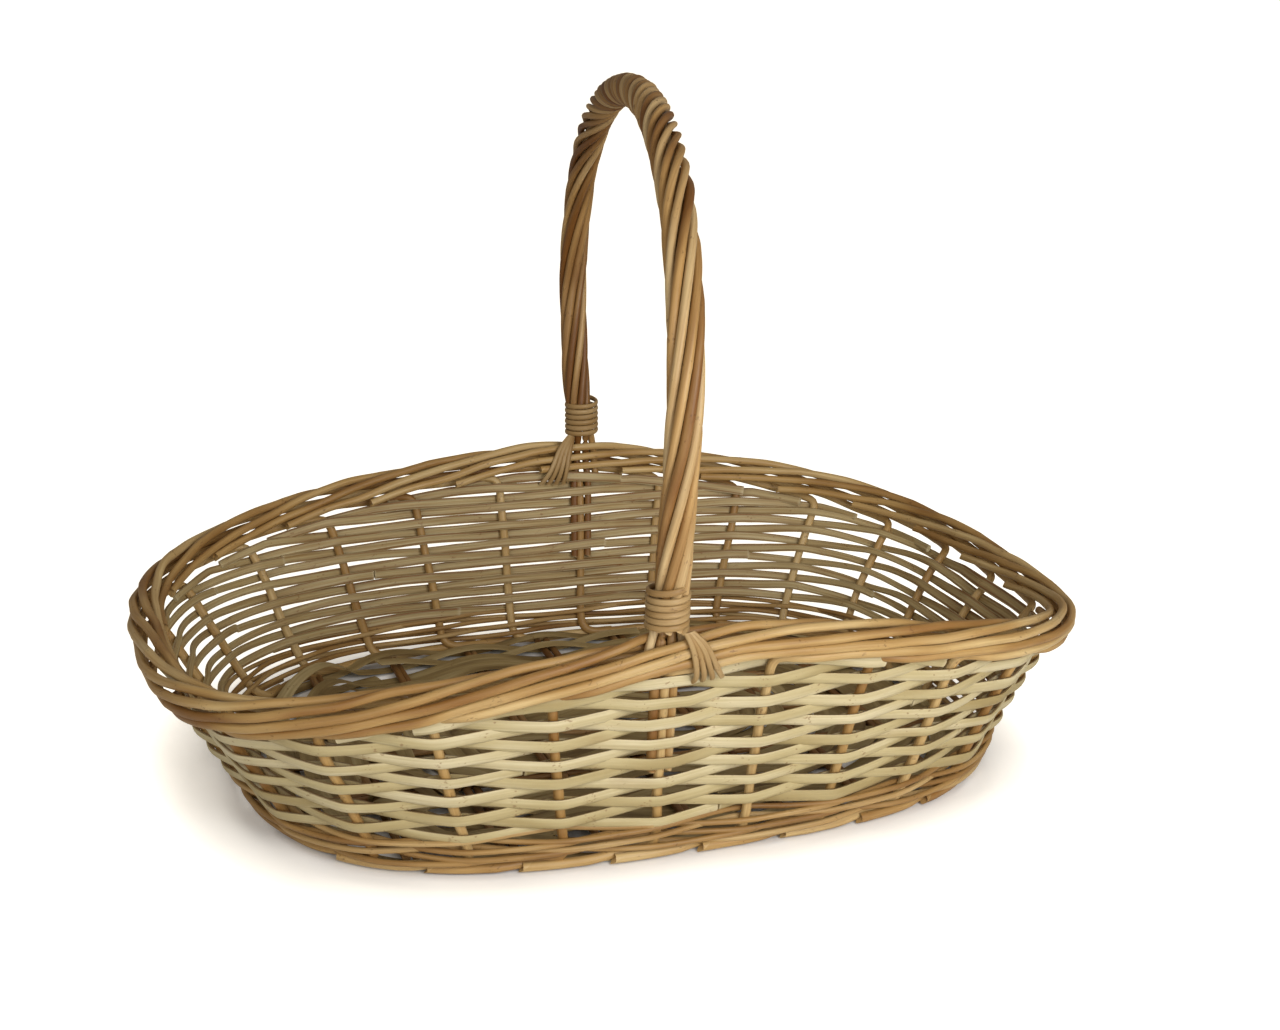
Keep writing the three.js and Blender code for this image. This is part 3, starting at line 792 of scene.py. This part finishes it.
def crown_share(z):
    """How far into the crown of the bow a height is: 0 on the legs, 1 over the top."""
    return np.clip((z - CROWN_Z[0]) / (CROWN_Z[1] - CROWN_Z[0]), 0, 1)


loosened = np.clip((bow[:, 2] - LASHING_TOP_Z) / 14, 0, 1)
ring = LASHED_RING + (STRAND_RING - LASHED_RING) * loosened + CROWN_RISE * crown_share(bow[:, 2])


def leg_line(sector, stake):
    """A strand's line below its lashing, or None for the four that stop there."""
    lane = STRANDS / 2 - 0.5 - sector
    if abs(lane) > 2:
        return None
    from_middle = int(abs(lane))
    beside = lane * FAN_PITCH / stake_spacing * np.array(LEG_SPREADS[from_middle])
    fan = in_border(stake + beside, 0, LEG_HEIGHT)
    tip = in_wall([stake + beside[-1]], LEG_TIPS[from_middle], 0)
    return joined_line(fan, tip)


for strand in range(STRANDS):
    end_sector = (strand + round(HANDLE_TURNS * STRANDS)) % STRANDS
    turn = 2 * math.pi * (strand + 0.5) / STRANDS + rope_turn
    side = bow_outer * np.cos(turn)[:, None] + bow_across * np.sin(turn)[:, None]
    parts = [(bow + side * (ring + wander(len(bow), 22, 0.35))[:, None], side)]
    front = leg_line(strand, 0)
    rear = leg_line(STRANDS - 1 - end_sector, STAKES / 2)
    if front:
        parts.insert(0, (front[0][::-1], front[1][::-1]))
    if rear:
        parts.append(rear)
    points, sides = even(*joined_line(*parts), 2)
    points = soften(points, 2)
    radius = STRAND_RADIUS * dice.uniform(0.92, 1.06)
    squeezed = CROWN_SQUEEZE * crown_share(points[:, 2])
    # The strands grow darker towards the rear leg: painted shade on the leg further from the light.
    tone = (STRAND_TONES[strand] + 0.05, STRAND_TONES[strand] - FAR_LEG_PAINTED_SHADE)
    rod = bent_rod(points, sides, radius, radius, tone=tone, step=3, tip=0.97, shape=1 - squeezed)
    piece_of(f"rope_strand_{strand + 1}", [rod], handle_willow, "handle_willow",
             f"handle_strand_{strand + 1}")


# The lashings: a pale thin rod wound six times round each leg where it meets the border. Four ends are laid
# down over the border, outside it at the near leg and inside it at the other, and tucked under the packing.
LASHING_HALF_WIDTH = 1.75
LASHING_HALF_THICKNESS = 1.15
LASHING_TURNS = 6
LIFTED_END = 0.6
LASHING_RING = LASHED_RING + STRAND_RADIUS + LASHING_HALF_THICKNESS + 0.2
TAIL_ASIDE = (7.5, 9.5, 12.0, 14.5, 15.5, 16)
TAIL_OUT = (7.0, 9.4, 11.0, 11.6, 9.0, 4)
TAIL_HEIGHT = (17, 13, 6, -7, -13.5, -18)
TAIL_FAN = 5.2
TAILS = 4
TAIL_HALF_SIZES = (1.6, 1.2)
lashing_willow = willow(
    "Lashing willow", colour(128, 94, 52), colour(164, 132, 86), colour(190, 162, 116), colour(104, 72, 40),
    roughness=0.52,
)
for end_name, stake, way in (("front", 0, 1), ("rear", STAKES / 2, -1)):
    outer = front_way * way
    right = np.cross([0, 0, 1], outer)
    turn = np.linspace(0, LASHING_TURNS, 40 * LASHING_TURNS)
    z = LASHING_BOTTOM_Z + (LASHING_TOP_Z - LASHING_BOTTOM_Z) * turn / LASHING_TURNS
    z = z + 6 * np.clip(turn - LASHING_TURNS + LIFTED_END, 0, 1) ** 2
    swing = 2 * math.pi * (turn + 0.12)
    side = outer * np.cos(swing)[:, None] + right * np.sin(swing)[:, None]
    centre = front_way * (way * leg_reach(z))[:, None] + np.array([0, 0, 1]) * z[:, None]
    winding = centre + side * LASHING_RING
    rods = [bent_rod(winding, side, LASHING_HALF_WIDTH, LASHING_HALF_THICKNESS, step=2.4, tone=0.7)]
    for tail in range(TAILS):
        fan = np.linspace(0.15, 1, len(TAIL_ASIDE)) * (TAIL_FAN * tail - 2)
        aside = np.array(TAIL_ASIDE) + fan
        beside = stake + aside / stake_spacing
        points, sides = in_border(beside, way * np.array(TAIL_OUT), np.array(TAIL_HEIGHT))
        points, sides = even(points, way * sides, 1.5)
        points = soften(points, 3)
        rods.append(bent_rod(points, sides, *TAIL_HALF_SIZES, step=2, tone=0.5 + 0.12 * tail))
    piece_of(f"binding_{end_name}", rods, lashing_willow, "lashing_willow", f"lashing_{end_name}")


# The studio: a wide plain pale floor, a warm white surround, one large soft light before the basket and to
# the right, a fill from the left, and the camera a little above the basket, in front of its left end.
for rod in straight_rods.values():
    bpy.data.objects.remove(rod)
bpy.ops.object.select_all(action="DESELECT")
bpy.ops.mesh.primitive_plane_add(size=60, location=(0, 0, -0.0002))
floor = bpy.context.object
floor.name = "studio_floor"
bpy.ops.object.transform_apply(location=True)
paper = bpy.data.materials.new("Studio paper")
paper.use_nodes = True
floor.data.materials.append(paper)
paper_tree = paper.node_tree
paper_surface = paper_tree.nodes["Principled BSDF"]
paper_surface.inputs["Base Color"].default_value = (0.9, 0.9, 0.9, 1)
paper_surface.inputs["Roughness"].default_value = 0.9
paper_surface.inputs["Emission Color"].default_value = (1, 0.94, 0.84, 1)
# The floor glows to the camera so that it shows white. The glow fades by ambient occlusion, which paints
# shade on the floor under and close round the basket.
seen = paper_tree.nodes.new("ShaderNodeLightPath")
open_air = paper_tree.nodes.new("ShaderNodeAmbientOcclusion")
open_air.inputs["Distance"].default_value = 0.05
closed_in = maths(paper_tree, "POWER", open_air.outputs["AO"], 2)
bright = maths(paper_tree, "MULTIPLY", closed_in, seen.outputs["Is Camera Ray"])
glow = maths(paper_tree, "MULTIPLY", bright, 1.02)
paper_tree.links.new(glow, paper_surface.inputs["Emission Strength"])

scene = bpy.context.scene
scene.view_settings.view_transform = "Standard"
scene.world = bpy.data.worlds.new("Studio")
scene.world.use_nodes = True
surround = scene.world.node_tree.nodes["Background"]
surround.inputs["Color"].default_value = (1, 0.93, 0.82, 1)
surround.inputs["Strength"].default_value = 0.24


def soft_light(name, place, size, watts, target=(0, 0, 0.12)):
    """A square soft light, in metres, that looks at target."""
    bpy.ops.object.light_add(type="AREA", location=place)
    light = bpy.context.object
    light.name = name
    light.data.size = size
    light.data.energy = watts
    light.rotation_euler = (Vector(target) - Vector(place)).to_track_quat("-Z", "Y").to_euler()


soft_light("key", (0.26, -1.2, 0.55), 0.7, 11.3, target=(0.06, -0.2, 0.03))
soft_light("fill", (-1.15, -1.15, 0.75), 1.0, 6)

CAMERA_AZIMUTH = math.radians(-22.2)
CAMERA_ELEVATION = math.radians(17.52)
CAMERA_ROLL = math.radians(2.0)
CAMERA_DISTANCE = 1.19065
CAMERA_TARGET = (0.0569, -0.0159, 0.1379)
ca, sa = math.cos(CAMERA_AZIMUTH), math.sin(CAMERA_AZIMUTH)
ce, se = math.cos(CAMERA_ELEVATION), math.sin(CAMERA_ELEVATION)
back = Vector((sa * ce, -ca * ce, se))
right = Vector((ca, sa, 0))
above = back.cross(right)
cr, sr = math.cos(CAMERA_ROLL), math.sin(CAMERA_ROLL)
rolled_right = right * cr + above * sr
rolled_up = above * cr - right * sr
camera_data = bpy.data.cameras.new("camera")
camera = bpy.data.objects.new("camera", camera_data)
scene.collection.objects.link(camera)
scene.camera = camera
place = Vector(CAMERA_TARGET) + back * CAMERA_DISTANCE
turned = Matrix((rolled_right, rolled_up, back)).transposed().to_4x4()
camera.matrix_world = Matrix.Translation(place) @ turned
camera_data.sensor_width = 36
camera_data.lens = 53.32
camera_data.shift_x = -0.0554
camera_data.shift_y = 0.0114
camera_data.clip_end = 100
